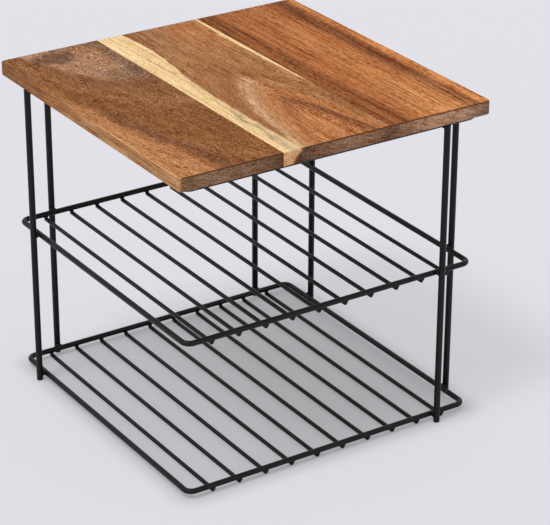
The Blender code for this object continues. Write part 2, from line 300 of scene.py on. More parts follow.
# The grey stain in it: its place and its strength by the share of the depth.
STAIN_COLOUR = (150, 138, 112)
STAIN_SHARES = ((0.0, 0.30), (0.1, 0.33), (0.3, 0.40), (0.4, 0.50), (0.55, 0.38), (0.75, 0.30), (1.0, 0.31))
STAIN_STRENGTHS = (
    (0.0, 0.2), (0.1, 0.85), (0.28, 0.85), (0.45, 0.35),
    (0.62, 0.25), (0.74, 1.0), (1.0, 0.7),
)
STAIN_WIDTH = (0.3, 0.42, 1.4, 5.0)
STAIN_WANDER_REACH = 3.0
STAIN_SPECKS = (9.0, (0.9, 18, 0.9), 2.0, -0.12, 0.08)
# The narrow band at the other glued edge, and the glow beside it.
SAP_LINE_WIDEST = 3.2
SAP_LINE_SHARES = ((0.0, 0.6), (0.15, 0.9), (0.3, 1.0), (0.45, 0.66), (0.56, 0.34), (0.66, 0.0), (1.0, 0.0))
SAP_LINE_WANDER_REACH = 1.6
SAP_LINE_EDGE = (-0.5, 0.6)
SAP_LINE_FADE = (0.66, 0.56)
SAP_GLOW_ACROSS = (-5.0, 0.0)
SAP_GLOW_ALONG = (0.7, 0.4, 0.0, 0.6)
SAP_GLOW_COLOUR = (206, 152, 96)

# End grain, by distance from the left edge.
END_FACING = (0.6, 0.9)
END_BANDS = (
    (0, (142, 113, 87)), (25, (152, 121, 94)), (60, (140, 108, 82)),
    (76, (113, 82, 59)), (79, (108, 76, 57)), (92, (103, 72, 54)),
    (104, (132, 99, 75)), (130, (164, 127, 98)), (155, (151, 115, 89)),
    (164, (120, 86, 66)), (172, (144, 107, 82)), (195, (199, 155, 122)),
    (228, (196, 156, 126)), (250, (122, 104, 90)),
)
END_PATCHES = ((9, 9, 3), 3.0)
END_PATCH_REACH = 14.0
END_PATCH_STRENGTH = 1.2
END_SPECKLE = ((0.75, 0.75, 0.75), 1.0)
END_SPECKLE_STRENGTH = 2.3
END_RING_SLANT = 0.3
END_RINGS = ((0.7, 14, 1.0), 2.0)
END_RING_STRENGTH = 1.7
# The shade low down, right of the left plank: across, upwards and the light.
END_SHADE = ((86, 100), (5.0, 2.6), 0.85)
SAP_END_COLOUR = (240, 188, 138)
SAP_END_CALM = 0.6

# Eased top edges: the ends' is a painted shade, more in heartwood than in sapwood. The sides' is a painted
# shade at the back and a painted highlight in front.
UPWARD_FACING = (0.1, 0.3)
END_ARRIS_SHADE_REACH = (1.3, 0.7)
END_ARRIS_SHADE_STRENGTHS = (0.9, 0.15)
END_ARRIS_SHADE_COLOUR = (82, 49, 32)
# Painted light along the eased side edges: a painted shade at the back that turns to a painted highlight in
# front.
LONG_ARRIS_HIGHLIGHT_FACING = (0.2, 0.45)
LONG_ARRIS_SHADE_TO_HIGHLIGHT = (40, 180, 0.75, 1.25)

# Side faces: yellower to the front, and lighter round one place.
SIDE_FACING = (0.5, 0.9)
SIDE_TINT = (1.10, 1.30, 1.42, 1.0)
SIDE_TINT_FACING = (0.15, 0.35)
SIDE_TINT_ALONG = (60, 150)
SIDE_GLOW_PLACE = (46, 48)
SIDE_GLOW_STRENGTH = 0.36

# Black coat and screw steel. Their pitches are in metres.
COAT_PEEL = (1.0, (0.0007, 0.0007, 0.0007), 2.0)
PEEL_ROUGHNESS = 0.12
COAT_PATCHES = (4.0, (0.012, 0.012, 0.012), 3.0)
COAT_PATCH_RANGE = (-0.1, 0.2)
COAT_PATCH_ROUGHNESS = 0.35
COAT_COLOUR = (9, 9, 8)
THIN_COAT_COLOUR = (17, 16, 14)
COAT_ROUGHNESS = 0.38
COAT_SPECULAR = 0.26
COAT_BUMP = 0.00005
TURNING_MARKS = (2.0, (0.00012, 1.0, 1.0), 1.0)
BLOOM = (6.0, (0.0009, 0.0009, 0.0009), 3.0)
BLOOM_RANGE = (-0.1, 0.15)
BLOOM_ROUGHNESS = 0.5
STEEL_COLOUR = (196, 197, 193)
BLOOM_COLOUR = (166, 168, 166)
STEEL_ROUGHNESS = 0.34
STEEL_BUMP = 0.00004


def srgb(red, green, blue):
    """A colour as a screen shows it, in the linear values that shaders take."""
    linear = []
    for value in (red, green, blue):
        share = value / 255
        linear.append(share / 12.92 if share <= 0.04045 else ((share + 0.055) / 1.055) ** 2.4)
    return (*linear, 1.0)


def feed(tree, socket, value):
    """Link an input to another node's output, or set it to a constant."""
    if isinstance(value, bpy.types.NodeSocket):
        tree.links.new(value, socket)
    else:
        socket.default_value = value


def compute(tree, operation, *values):
    node = tree.nodes.new("ShaderNodeMath")
    node.operation = operation
    for socket, value in zip(node.inputs, values):
        feed(tree, socket, value)
    return node.outputs[0]


def times(tree, first, second):
    return compute(tree, "MULTIPLY", first, second)


def times_plus(tree, first, second, added):
    return compute(tree, "MULTIPLY_ADD", first, second, added)


def minus(tree, first, second):
    return compute(tree, "SUBTRACT", first, second)


def remap(tree, value, low, high, new_low=0.0, new_high=1.0, smooth=True):
    """Map a value from one range to another, held at both ends."""
    node = tree.nodes.new("ShaderNodeMapRange")
    node.interpolation_type = "SMOOTHSTEP" if smooth else "LINEAR"
    for socket, entry in zip(node.inputs, (value, low, high, new_low, new_high)):
        feed(tree, socket, entry)
    return node.outputs["Result"]


def parts_of(tree, vector):
    node = tree.nodes.new("ShaderNodeSeparateXYZ")
    feed(tree, node.inputs[0], vector)
    return tuple(node.outputs)


def vector_of(tree, x, y, z):
    node = tree.nodes.new("ShaderNodeCombineXYZ")
    for socket, value in zip(node.inputs, (x, y, z)):
        feed(tree, socket, value)
    return node.outputs[0]


def scale_and_move(tree, vector, scale, offset):
    """A vector times a scale, plus an offset, axis by axis."""
    node = tree.nodes.new("ShaderNodeVectorMath")
    node.operation = "MULTIPLY_ADD"
    for socket, value in zip(node.inputs, (vector, scale, offset)):
        feed(tree, socket, value)
    return node.outputs[0]


def noise_node(tree, place, seed, pitches, detail):
    """Noise whose features have the given size along each axis."""
    scaled = scale_and_move(tree, place, [1 / pitch for pitch in pitches], (seed, seed, seed))
    node = tree.nodes.new("ShaderNodeTexNoise")
    feed(tree, node.inputs["Vector"], scaled)
    node.inputs["Scale"].default_value = 1.0
    node.inputs["Detail"].default_value = detail
    return node


def noise(tree, place, seed, pitches, detail):
    """Noise centred on 0, mostly within a quarter of it."""
    node = noise_node(tree, place, seed, pitches, detail)
    return minus(tree, node.outputs["Fac"], NOISE_MIDDLE)


def specks(tree, place, seed, pitches, detail, start, full, strength=1.0):
    """Patches that rise from 0 to a strength, as the noise goes from a start to a full value."""
    return remap(tree, noise(tree, place, seed, pitches, detail), start, full, 0.0, strength)


def warped(tree, place, seed, pitches, reach):
    """The parts of a place that is shifted by up to half the reach along each axis."""
    offset = noise_node(tree, place, seed, pitches, WARP_DETAIL).outputs["Color"]
    offset = scale_and_move(tree, offset, (1.0, 1.0, 1.0), (-NOISE_MIDDLE, -NOISE_MIDDLE, -NOISE_MIDDLE))
    return parts_of(tree, scale_and_move(tree, offset, (reach, reach, reach), place))


def mix_colour(tree, share, first, second, blend="MIX"):
    node = tree.nodes.new("ShaderNodeMix")
    node.data_type = "RGBA"
    node.blend_type = blend
    inputs = {socket.identifier: socket for socket in node.inputs}
    feed(tree, inputs["Factor_Float"], share)
    feed(tree, inputs["A_Color"], first)
    feed(tree, inputs["B_Color"], second)
    return next(socket for socket in node.outputs if socket.identifier == "Result_Color")


def mix_value(tree, share, first, second):
    """A value between two others, by a share."""
    return times_plus(tree, minus(tree, second, first), share, first)


def paint(tree, colour, share, tone):
    """A colour with a share of a screen colour laid over it."""
    return mix_colour(tree, share, colour, srgb(*tone))


def brighten(tree, colour, value):
    node = tree.nodes.new("ShaderNodeHueSaturation")
    feed(tree, node.inputs["Color"], colour)
    feed(tree, node.inputs["Value"], value)
    return node.outputs["Color"]


def shaded(tree, colour, share, light):
    """A colour that stays as it is where a share is 0, and is times a light where it is 1."""
    return brighten(tree, colour, remap(tree, share, 0.0, 1.0, 1.0, light))


def both(tree, first, first_fade, second, second_fade):
    """The product of two values, each mapped by its own fade."""
    return times(tree, remap(tree, first, *first_fade), remap(tree, second, *second_fade))


def shaded_corner(tree, colour, first, second, first_fade, second_fade, light):
    """A colour with a shade where two fades meet."""
    return shaded(tree, colour, both(tree, first, first_fade, second, second_fade), light)


def banded_colour(tree, distance, bands):
    """Colour by a distance, from bands that each give a distance and the colour there."""
    low = bands[0][0]
    high = bands[-1][0]
    node = tree.nodes.new("ShaderNodeValToRGB")
    feed(tree, node.inputs["Fac"], remap(tree, distance, low, high, smooth=False))
    elements = node.color_ramp.elements
    elements[0].color = srgb(*bands[0][1])
    elements[1].color = srgb(*bands[-1][1])
    for at, colour in bands[1:-1]:
        element = elements.new((at - low) / (high - low))
        element.color = srgb(*colour)
    return node.outputs["Color"]


def curved_value(tree, share, points):
    """A value from 0 to 1 read from a smooth curve through points."""
    node = tree.nodes.new("ShaderNodeFloatCurve")
    feed(tree, node.inputs["Value"], share)
    curve = node.mapping.curves[0]
    curve.points[0].location = points[0]
    curve.points[1].location = points[-1]
    for point in points[1:-1]:
        curve.points.new(*point)
    node.mapping.update()
    return node.outputs["Value"]


def bump_round(tree, value, middle, half_width):
    """1 where a value is at its middle, falling smoothly to 0 at half a width from it."""
    apart = compute(tree, "ABSOLUTE", minus(tree, value, middle))
    return remap(tree, compute(tree, "DIVIDE", apart, half_width), 0.0, 1.0, 1.0, 0.0)


def new_material(name):
    """A node material, with its tree and its shader."""
    material = bpy.data.materials.new(name)
    material.use_nodes = True
    tree = material.node_tree
    return material, tree, tree.nodes["Principled BSDF"]


def dress(tree, shader, colour, roughness, height, distance):
    """Give a shader its colour and roughness, and bumps from a height times a distance."""
    feed(tree, shader.inputs["Base Color"], colour)
    feed(tree, shader.inputs["Roughness"], roughness)
    bump = tree.nodes.new("ShaderNodeBump")
    bump.inputs["Distance"].default_value = distance
    feed(tree, bump.inputs["Height"], height)
    feed(tree, shader.inputs["Normal"], bump.outputs["Normal"])


def texture_place(tree, output):
    return tree.nodes.new("ShaderNodeTexCoord").outputs[output]


def board_place(tree):
    """A place on the board in millimetres: from its left edge, from its back edge and up from below."""
    corner = Vector((-CAD_BOX[0].x, CAD_BOX[1].y, -BOARD_BOTTOM_Z))
    scale = (1 / MILLIMETRE, -1 / MILLIMETRE, 1 / MILLIMETRE)
    return scale_and_move(tree, texture_place(tree, "Object"), scale, corner / MILLIMETRE)


def grain_tone(tree, place, seed, strengths):
    """How light the fine figure is at a place: about a half, from 0 to 1."""
    tone = MIDDLE_TONE
    for (pitches, detail), strength in zip(GRAIN_LAYERS, strengths):
        layer = noise(tree, place, seed, pitches, detail)
        tone = times_plus(tree, layer, strength, tone)
    return tone


def calmed(tree, tone, share, strength):
    """A tone drawn towards the middle by a share times a strength. A negative strength sharpens it."""
    calm = times_plus(tree, share, -strength, 1.0)
    return times_plus(tree, minus(tree, tone, MIDDLE_TONE), calm, MIDDLE_TONE)


def left_rings(tree, place, x, ring):
    """The left plank's rings, with the pale ones, the glints and the shades among them."""
    colour = banded_colour(tree, ring, LEFT_BANDS)
    seed, *look = PALE_RING_SPECKS
    for index, (middle, half_width, strength) in enumerate(PALE_RINGS):
        broken = specks(tree, place, seed + index, *look, strength)
        line = times(tree, bump_round(tree, ring, middle, half_width), broken)
        colour = paint(tree, colour, line, PALE_COLOUR)
    glints = specks(tree, place, *GLINT_SPECKS)
    glints = times(tree, glints, remap(tree, ring, *GLINT_FADE))
    colour = paint(tree, colour, glints, PALE_COLOUR)
    colour = shaded_corner(tree, colour, x, ring, *SEAM_SHADE)
    ring_shade = bump_round(tree, ring, *RING_SHADE_PLACE)
    ring_shade = times(tree, remap(tree, x, *RING_SHADE_ACROSS), ring_shade)
    return shaded(tree, colour, ring_shade, RING_SHADE_LIGHT)


def add_smudge(tree, place, x, y, colour):
    """The colour with the dark smudge, whose outline is ragged."""
    apart_x = compute(tree, "DIVIDE", minus(tree, x, SMUDGE_PLACE[0]), SMUDGE_SIZE[0])
    apart_y = compute(tree, "DIVIDE", minus(tree, y, SMUDGE_PLACE[1]), SMUDGE_SIZE[1])
    apart = times_plus(tree, apart_y, apart_y, times(tree, apart_x, apart_x))
    blotches = noise(tree, place, LEFT_SEED, *SMUDGE_BLOTCHES)
    ragged = times_plus(tree, blotches, SMUDGE_RAGGEDNESS, apart)
    return paint(tree, colour, remap(tree, ragged, *SMUDGE_FADE), SMUDGE_COLOUR)


def add_orange(tree, y, beyond, orange, colour):
    """The colour with the orange wood, and a dark rim where that ends."""
    rim = times(tree, bump_round(tree, beyond, *ORANGE_RIM_PLACE), remap(tree, y, *ORANGE_RIM_FADE))
    colour = paint(tree, colour, rim, ORANGE_RIM_COLOUR)
    return paint(tree, colour, orange, ORANGE_COLOUR)


def add_flecks(tree, place, y, colour):
    """The colour with pale flecks here and there in the front."""
    flecks = specks(tree, place, *FLECK_SPECKS)
    patches = times(tree, specks(tree, place, *FLECK_PATCHES), remap(tree, y, *FLECK_FADE))
    return paint(tree, colour, times(tree, flecks, patches), PALE_COLOUR)


def left_figure(tree, place):
    """Rings that curve round the plank's back, a dark smudge, and orange wood at the front left."""
    x, y, z = warped(tree, place, LEFT_SEED, WARP_PITCHES, LEFT_WARP)
    across = minus(tree, x, LEFT_RING_MIDDLE)
    curve_back = compute(tree, "DIVIDE", times(tree, across, across), LEFT_RING_SPREAD)
    ring = compute(tree, "ADD", y, curve_back)
    share = compute(tree, "DIVIDE", y, BOARD_DEPTH_MM)
    reach = times(tree, curved_value(tree, share, ORANGE_SHARES), ORANGE_WIDEST)
    beyond = minus(tree, x, reach)
    orange = remap(tree, beyond, *ORANGE_FADE)

    colour = left_rings(tree, place, x, ring)
    colour = add_smudge(tree, place, x, y, colour)
    colour = add_orange(tree, y, beyond, orange, colour)
    colour = add_flecks(tree, place, y, colour)
    colour = shaded_corner(tree, colour, x, y, *EDGE_SHADE)

    ring_place = vector_of(tree, times(tree, ring, RING_LINE_SHARE), x, z)
    ringed = grain_tone(tree, ring_place, LEFT_SEED, LEFT_GRAIN)
    straight = grain_tone(tree, vector_of(tree, beyond, y, z), LEFT_SEED, LEFT_GRAIN)
    tone = mix_value(tree, remap(tree, ring, *RING_GRAIN_FADE), straight, ringed)
    return colour, calmed(tree, tone, orange, ORANGE_CALM), 0.0


def arch_place(tree, x, y):
    """The ring that a place lies on, and which side of the arches it is on: 0 left, 1 right."""
    across = minus(tree, x, ARCH_MIDDLE)
    slant = times_plus(tree, across, across, ARCH_ROUNDING * ARCH_ROUNDING)
    slant = minus(tree, compute(tree, "SQRT", slant), ARCH_ROUNDING)
    steepness = times_plus(tree, y, *ARCH_STEEPNESS)
    steepness = compute(tree, "MAXIMUM", steepness, ARCH_LEAST_STEEPNESS)
    return minus(tree, y, times(tree, steepness, slant)), remap(tree, across, *ARCH_SIDES)


def arch_colour(tree, place, ring, right_side):
    """Heartwood with its own bands in each leg of the arches, and the flecks of the outer arch."""
    left_heart = banded_colour(tree, ring, ARCH_LEFT_BANDS)
    right_heart = banded_colour(tree, ring, ARCH_RIGHT_BANDS)
    heart = mix_colour(tree, right_side, left_heart, right_heart)
    crest = times(tree, specks(tree, place, *ARCH_CREST_SPECKS), bump_round(tree, ring, *ARCH_CREST))
    crest = times(tree, crest, remap(tree, right_side, 0.0, 1.0, *ARCH_CREST_STRENGTHS))
    return paint(tree, heart, crest, ARCH_CREST_COLOUR)


def middle_figure(tree, place):
    """Arches in the heartwood, between a wide and a narrow band of sapwood."""
    x, y, z = warped(tree, place, MIDDLE_SEED, WARP_PITCHES, ARCH_WARP)
    ring, right_side = arch_place(tree, x, y)
    heart = arch_colour(tree, place, ring, right_side)
    ring_across = times(tree, ring, ARCH_LINE_SHARE)
    ring_along = times_plus(tree, y, ARCH_LENGTH_SHARE, x)
    arched = grain_tone(tree, vector_of(tree, ring_across, ring_along, z), MIDDLE_SEED, MIDDLE_GRAIN)
    straight = grain_tone(tree, vector_of(tree, x, y, z), MIDDLE_SEED, MIDDLE_GRAIN)
    tone = mix_value(tree, both(tree, y, ARCH_GRAIN_FADE, ring, ARCH_CORE_FADE), straight, arched)
    right_leg = times(tree, right_side, remap(tree, y, *RIGHT_LEG_FADE))
    tone = calmed(tree, tone, right_leg, RIGHT_LEG_CALM)
    colour, sapwood = add_sapwood(tree, place, heart)
    return colour, calmed(tree, tone, sapwood, SAP_CALM), sapwood


def add_sapwood(tree, place, heart):
    """The heartwood's colour with cream sapwood along both glued edges, and how much of it is sapwood."""
    x, y, z = parts_of(tree, place)
    share = compute(tree, "DIVIDE", y, BOARD_DEPTH_MM)
    wander = noise(tree, place, *SAP_WANDER)
    from_seam = minus(tree, x, LEFT_SEAM_MM)
    width = times(tree, curved_value(tree, share, SAP_WIDTH_SHARES), SAP_WIDEST)
    width = times_plus(tree, minus(tree, BOARD_THICKNESS_MM, z), -SAP_LEAN_SHARE, width)
    width = times_plus(tree, wander, SAP_WANDER_REACH, width)
    softness = remap(tree, share, *SAP_EDGE_SOFTNESS)
    band = remap(tree, compute(tree, "DIVIDE", minus(tree, width, from_seam), softness), *SAP_EDGE)

    line_width = times(tree, curved_value(tree, share, SAP_LINE_SHARES), SAP_LINE_WIDEST)
    line_width = times_plus(tree, wander, SAP_LINE_WANDER_REACH, line_width)
    line_inside = minus(tree, line_width, minus(tree, RIGHT_SEAM_MM, x))
    line = both(tree, line_inside, SAP_LINE_EDGE, share, SAP_LINE_FADE)
    glow = both(tree, line_inside, SAP_GLOW_ACROSS, share, SAP_GLOW_ALONG)
    heart = paint(tree, heart, glow, SAP_GLOW_COLOUR)
    amount = compute(tree, "MAXIMUM", band, line)
    sap = sap_colour(tree, place, share, from_seam, wander)
    return mix_colour(tree, amount, heart, sap), amount


def sap_colour(tree, place, share, from_seam, wander):
    """Cream sapwood with darker streaks and the broken grey stain."""
    streaks = specks(tree, place, *SAP_STREAK_SPECKS)
    sap = paint(tree, srgb(*SAP_COLOUR), streaks, SAP_STREAK_COLOUR)
    middle = times(tree, curved_value(tree, share, STAIN_SHARES), SAP_WIDEST)
    middle = times_plus(tree, wander, STAIN_WANDER_REACH, middle)
    stain = bump_round(tree, from_seam, middle, remap(tree, share, *STAIN_WIDTH))
    stain = times(tree, stain, curved_value(tree, share, STAIN_STRENGTHS))
    stain = times(tree, stain, specks(tree, place, *STAIN_SPECKS))
    return paint(tree, sap, stain, STAIN_COLOUR)


def right_figure(tree, place):
    """Straight grain: reddish, with dark lines along it and an orange strip at the outer edge."""
    x, y, z = warped(tree, place, RIGHT_SEED, RIGHT_WARP_PITCHES, RIGHT_WARP)
    from_seam = minus(tree, x, RIGHT_SEAM_MM)
    colour = banded_colour(tree, from_seam, RIGHT_BANDS)
    share = compute(tree, "DIVIDE", y, BOARD_DEPTH_MM)
    front = bump_round(tree, from_seam, *RIGHT_FRONT_PLACE)
    front = times(tree, remap(tree, share, *RIGHT_FRONT_FADE), front)
    colour = paint(tree, colour, front, RIGHT_FRONT_COLOUR)
    long_place = vector_of(tree, x, times(tree, y, RIGHT_LENGTH_SHARE), z)
    dark = specks(tree, long_place, *RIGHT_DARK_SPECKS)
    colour = paint(tree, colour, dark, RIGHT_DARK_COLOUR)
    colour = brighten(tree, colour, remap(tree, share, *RIGHT_BACK_LIGHT))
    tone = grain_tone(tree, long_place, RIGHT_SEED, RIGHT_GRAIN)
    from_middle = compute(tree, "ABSOLUTE", minus(tree, from_seam, RIGHT_MIDDLE))
    sides = remap(tree, from_middle, *RIGHT_SIDES_FADE)
    return colour, calmed(tree, tone, sides, RIGHT_SIDES_CALM), 0.0


def end_grain_colour(tree, place, sapwood, seed):
    """The cut ends: greyer, and speckled by the pores that run into them."""
    x, _, z = parts_of(tree, place)
    patches = noise(tree, place, seed, *END_PATCHES)
    distance = times_plus(tree, patches, END_PATCH_REACH, x)
    colour = paint(tree, banded_colour(tree, distance, END_BANDS), sapwood, SAP_END_COLOUR)
    speckle = noise(tree, place, seed, *END_SPECKLE)
    tone = times_plus(tree, speckle, END_SPECKLE_STRENGTH, MIDDLE_TONE)
    tone = times_plus(tree, patches, END_PATCH_STRENGTH, tone)
    slanted = times_plus(tree, x, END_RING_SLANT, z)
    rings = noise(tree, vector_of(tree, slanted, x, 0.0), seed, *END_RINGS)
    tone = times_plus(tree, rings, END_RING_STRENGTH, tone)
    tone = calmed(tree, tone, sapwood, SAP_END_CALM)
    return tinted(tree, shaded_corner(tree, colour, x, z, *END_SHADE), tone)


def tinted(tree, colour, tone):
    """A colour made darker and richer where the tone is low, and lighter where it is high."""
    tint = mix_colour(tree, tone, DARK_GRAIN, LIGHT_GRAIN)
    return mix_colour(tree, 1.0, colour, tint, "MULTIPLY")


def add_edge_shade_and_highlight(tree, colour, sapwood, y, facing_z, long_facing):
    """The colour with painted light on its eased top edges: a painted shade at the ends, and at the sides a
    painted shade behind that turns to a painted highlight in front.
    """
    to_end = compute(tree, "MINIMUM", y, minus(tree, BOARD_DEPTH_MM, y))
    # Painted shade on the eased top edges at the ends.
    end_arris_shade = both(tree, facing_z, UPWARD_FACING, to_end, END_ARRIS_SHADE_REACH)
    end_arris_shade = times(tree, end_arris_shade, remap(tree, sapwood, 0.0, 1.0, *END_ARRIS_SHADE_STRENGTHS))
    colour = paint(tree, colour, end_arris_shade, END_ARRIS_SHADE_COLOUR)
    # A painted shade on the eased side edges at the back, turning to a painted highlight in front.
    long_arris_highlight = both(tree, facing_z, UPWARD_FACING, long_facing, LONG_ARRIS_HIGHLIGHT_FACING)
    light = remap(tree, y, *LONG_ARRIS_SHADE_TO_HIGHLIGHT)
    return brighten(tree, colour, mix_value(tree, long_arris_highlight, 1.0, light))


def wood_material(name, figure, seed):
    """Oiled acacia: the plank's own figure with its grain, pores, end grain and eased edges."""
    material, tree, shader = new_material(name)
    place = board_place(tree)
    _, y, _ = parts_of(tree, place)
    facing_x, facing_y, facing_z = parts_of(tree, texture_place(tree, "Normal"))
    end_facing = compute(tree, "ABSOLUTE", facing_y)
    long_facing = compute(tree, "ABSOLUTE", facing_x)
    colour, tone, sapwood = figure(tree, place)
    side = remap(tree, long_facing, *SIDE_FACING)
    tone = mix_value(tree, side, tone, grain_tone(tree, place, seed + SIDE_SEED_STEP, SIDE_GRAIN))
    yellow = both(tree, long_facing, SIDE_TINT_FACING, y, SIDE_TINT_ALONG)
    colour = mix_colour(tree, yellow, colour, mix_colour(tree, 1.0, colour, SIDE_TINT, "MULTIPLY"))
    side_light = times(tree, side, bump_round(tree, y, *SIDE_GLOW_PLACE))
    side_light = times_plus(tree, side_light, SIDE_GLOW_STRENGTH, 1.0)
    colour = brighten(tree, tinted(tree, colour, tone), side_light)
    pores = specks(tree, place, seed, *PORE_SPECKS)
    pore_depth = times(tree, pores, remap(tree, sapwood, 0.0, 1.0, *PORE_STRENGTHS))
    colour = paint(tree, colour, pore_depth, PORE_COLOUR)
    end_colour = end_grain_colour(tree, place, sapwood, seed)
    colour = mix_colour(tree, remap(tree, end_facing, *END_FACING), colour, end_colour)
    # Painted shade and painted highlight on the eased top edges.
    colour = add_edge_shade_and_highlight(tree, colour, sapwood, y, facing_z, long_facing)

    roughness = times_plus(tree, tone, TONE_ROUGHNESS, WOOD_ROUGHNESS)
    roughness = times_plus(tree, pores, PORE_ROUGHNESS, roughness)
    shader.inputs["Specular IOR Level"].default_value = WOOD_SPECULAR
    fibres = noise(tree, place, seed, *FIBRES)
    height = times_plus(tree, pores, PORE_HEIGHT, times(tree, fibres, FIBRE_HEIGHT))
    dress(tree, shader, colour, roughness, height, WOOD_BUMP)
    return material


def black_coat():
    """Black powder coat: a faint orange peel, with a little unevenness in its sheen."""
    material, tree, shader = new_material("black_powder_coat")
    place = texture_place(tree, "Object")
    peel = noise(tree, place, *COAT_PEEL)
    patches = noise(tree, place, *COAT_PATCHES)
    thin = remap(tree, patches, *COAT_PATCH_RANGE)
    colour = paint(tree, srgb(*COAT_COLOUR), thin, THIN_COAT_COLOUR)
    roughness = times_plus(tree, patches, COAT_PATCH_ROUGHNESS, COAT_ROUGHNESS)
    roughness = times_plus(tree, peel, PEEL_ROUGHNESS, roughness)
    shader.inputs["Specular IOR Level"].default_value = COAT_SPECULAR
    dress(tree, shader, colour, roughness, peel, COAT_BUMP)
    return material


def screw_steel():
    """Zinc plated steel with turning marks round the head and a dull bloom."""
    material, tree, shader = new_material("zinc_plated_steel")
    place = texture_place(tree, "Object")
    x, y, _ = parts_of(tree, place)
    radius = compute(tree, "SQRT", compute(tree, "ADD", times(tree, x, x), times(tree, y, y)))
    rings = noise(tree, vector_of(tree, radius, 0.0, 0.0), *TURNING_MARKS)
    bloom = noise(tree, place, *BLOOM)
    colour = paint(tree, srgb(*STEEL_COLOUR), remap(tree, bloom, *BLOOM_RANGE), BLOOM_COLOUR)
    shader.inputs["Metallic"].default_value = 1.0
    roughness = times_plus(tree, bloom, BLOOM_ROUGHNESS, STEEL_ROUGHNESS)
    dress(tree, shader, colour, roughness, rings, STEEL_BUMP)
    return material


def finished_mesh(bm, name):
    """Turn a bmesh into a mesh that is smooth round its curves and crisp at its edges."""
    mesh = bpy.data.meshes.new(name)
    bm.to_mesh(mesh)
    bm.free()
    return soften(mesh)


def soften(mesh):
    mesh.shade_smooth()
    mesh.set_sharp_from_angle(angle=SHARP_ANGLE)
    return mesh


def add_object(name, data):
    """A new object in the scene."""
    added = bpy.data.objects.new(name, data)
    bpy.context.scene.collection.objects.link(added)
    return added


def evaluated_mesh(name, helpers):
    """The mesh that the first helper has with its modifiers. All the helpers are taken away."""
    bpy.context.view_layer.update()
    evaluated = helpers[0].evaluated_get(bpy.context.evaluated_depsgraph_get())
    mesh = bpy.data.meshes.new_from_object(evaluated)
    mesh.name = name
    for helper in helpers:
        bpy.data.objects.remove(helper, do_unlink=True)
    return soften(mesh)


def combined_mesh(name, mesh, operation, tools):
    """The mesh with each tool mesh cut out of it or joined to it."""
    body = add_object(name, mesh)
    helpers = [body]
    for tool in tools:
        helper = add_object(name + "_tool", tool)
        helpers.append(helper)
        boolean = body.modifiers.new("tool", "BOOLEAN")
        boolean.operation = operation
        boolean.solver = "EXACT"
        boolean.object = helper
    return evaluated_mesh(name, helpers)


def box_bmesh(low, high):
    bm = bmesh.new()
    bmesh.ops.create_cube(bm, size=1.0)
    bmesh.ops.scale(bm, vec=Vector(high) - Vector(low), verts=bm.verts)
    bmesh.ops.translate(bm, vec=(Vector(high) + Vector(low)) / 2, verts=bm.verts)
    return bm


def bevel(bm, edges, radius, segments):
    shape = {"profile": ROUND_PROFILE_SHARE, "affect": "EDGES"}
    bmesh.ops.bevel(bm, geom=edges, offset=radius, segments=segments, **shape)


def runs_along(edge, axis):
    """Whether an edge runs along one axis: 0 for X, 1 for Y, 2 for Z."""
    direction = (edge.verts[1].co - edge.verts[0].co).normalized()
    return abs(direction[axis]) > math.cos(SHARP_ANGLE)


def turned_mesh(name, profile, steps):
    """A solid turned about Z from half its outline: points of radius and height, end to end."""
    bm = bmesh.new()
    verts = [bm.verts.new((radius, 0.0, height)) for radius, height in profile]
    edges = [bm.edges.new(pair) for pair in zip(verts, verts[1:])]
    bmesh.ops.spin(
        bm, geom=verts + edges, axis=(0.0, 0.0, 1.0), angle=math.tau, steps=steps, use_merge=True
    )
    bmesh.ops.remove_doubles(bm, verts=bm.verts, dist=AXIS_MERGE)
    bmesh.ops.recalc_face_normals(bm, faces=bm.faces)
    return finished_mesh(bm, name)


def rod_profile(radius, length, rounding, loops):
    """Half outline of a wire from height 0 up, its ends rounded, with extra loops at given heights."""
    start = []
    for step in range(WIRE_END_STEPS + 1):
        angle = QUARTER_TURN * step / WIRE_END_STEPS
        inward = radius - rounding * (1 - math.sin(angle))
        start.append((inward, rounding * (1 - math.cos(angle))))
    end = [(x, length - height) for x, height in reversed(start)]
    middle = [(radius, height) for height in sorted(loops)]
    return [(0.0, 0.0)] + start + middle + end + [(0.0, length)]


def weld_mesh(half_sizes, centre):
    """A soft swelling of the given half sizes."""
    bm = bmesh.new()
    bmesh.ops.create_uvsphere(bm, u_segments=WELD_SEGMENTS, v_segments=WELD_SEGMENTS // 2, radius=1.0)
    bmesh.ops.scale(bm, vec=half_sizes, verts=bm.verts)
    bmesh.ops.translate(bm, vec=centre, verts=bm.verts)
    return finished_mesh(bm, "weld")


def show(node, mesh, material, place=(0.0, 0.0, 0.0), turn=0.0):
    """Add the finished piece that stands for a CAD node, riding on the rack's one body."""
    piece = add_object(node + "_finish", mesh)
    if not mesh.materials:
        mesh.materials.append(material)
    piece.location = place
    piece.rotation_euler = (0.0, 0.0, turn)
    weighted = piece.modifiers.new("even_shading", "WEIGHTED_NORMAL")
    weighted.keep_sharp = True
    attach(piece, "root")
    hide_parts(node)


def hole_mesh(node):
    """A cutter for the hole that a screw stands in, from under the board up."""
    low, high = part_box(node)
    middle = (low + high) / 2
    bottom_z = BOARD_BOTTOM_Z - HOLE_OVERRUN
    top_z = BOARD_BOTTOM_Z + SCREW_HOLE_DEPTH
    bm = bmesh.new()
    radii = {"radius1": SCREW_HOLE_RADIUS, "radius2": SCREW_HOLE_RADIUS}
    bmesh.ops.create_cone(bm, cap_ends=True, segments=HOLE_SIDES, depth=top_z - bottom_z, **radii)
    bmesh.ops.translate(bm, vec=(middle.x, middle.y, (bottom_z + top_z) / 2), verts=bm.verts)
    return finished_mesh(bm, "hole")


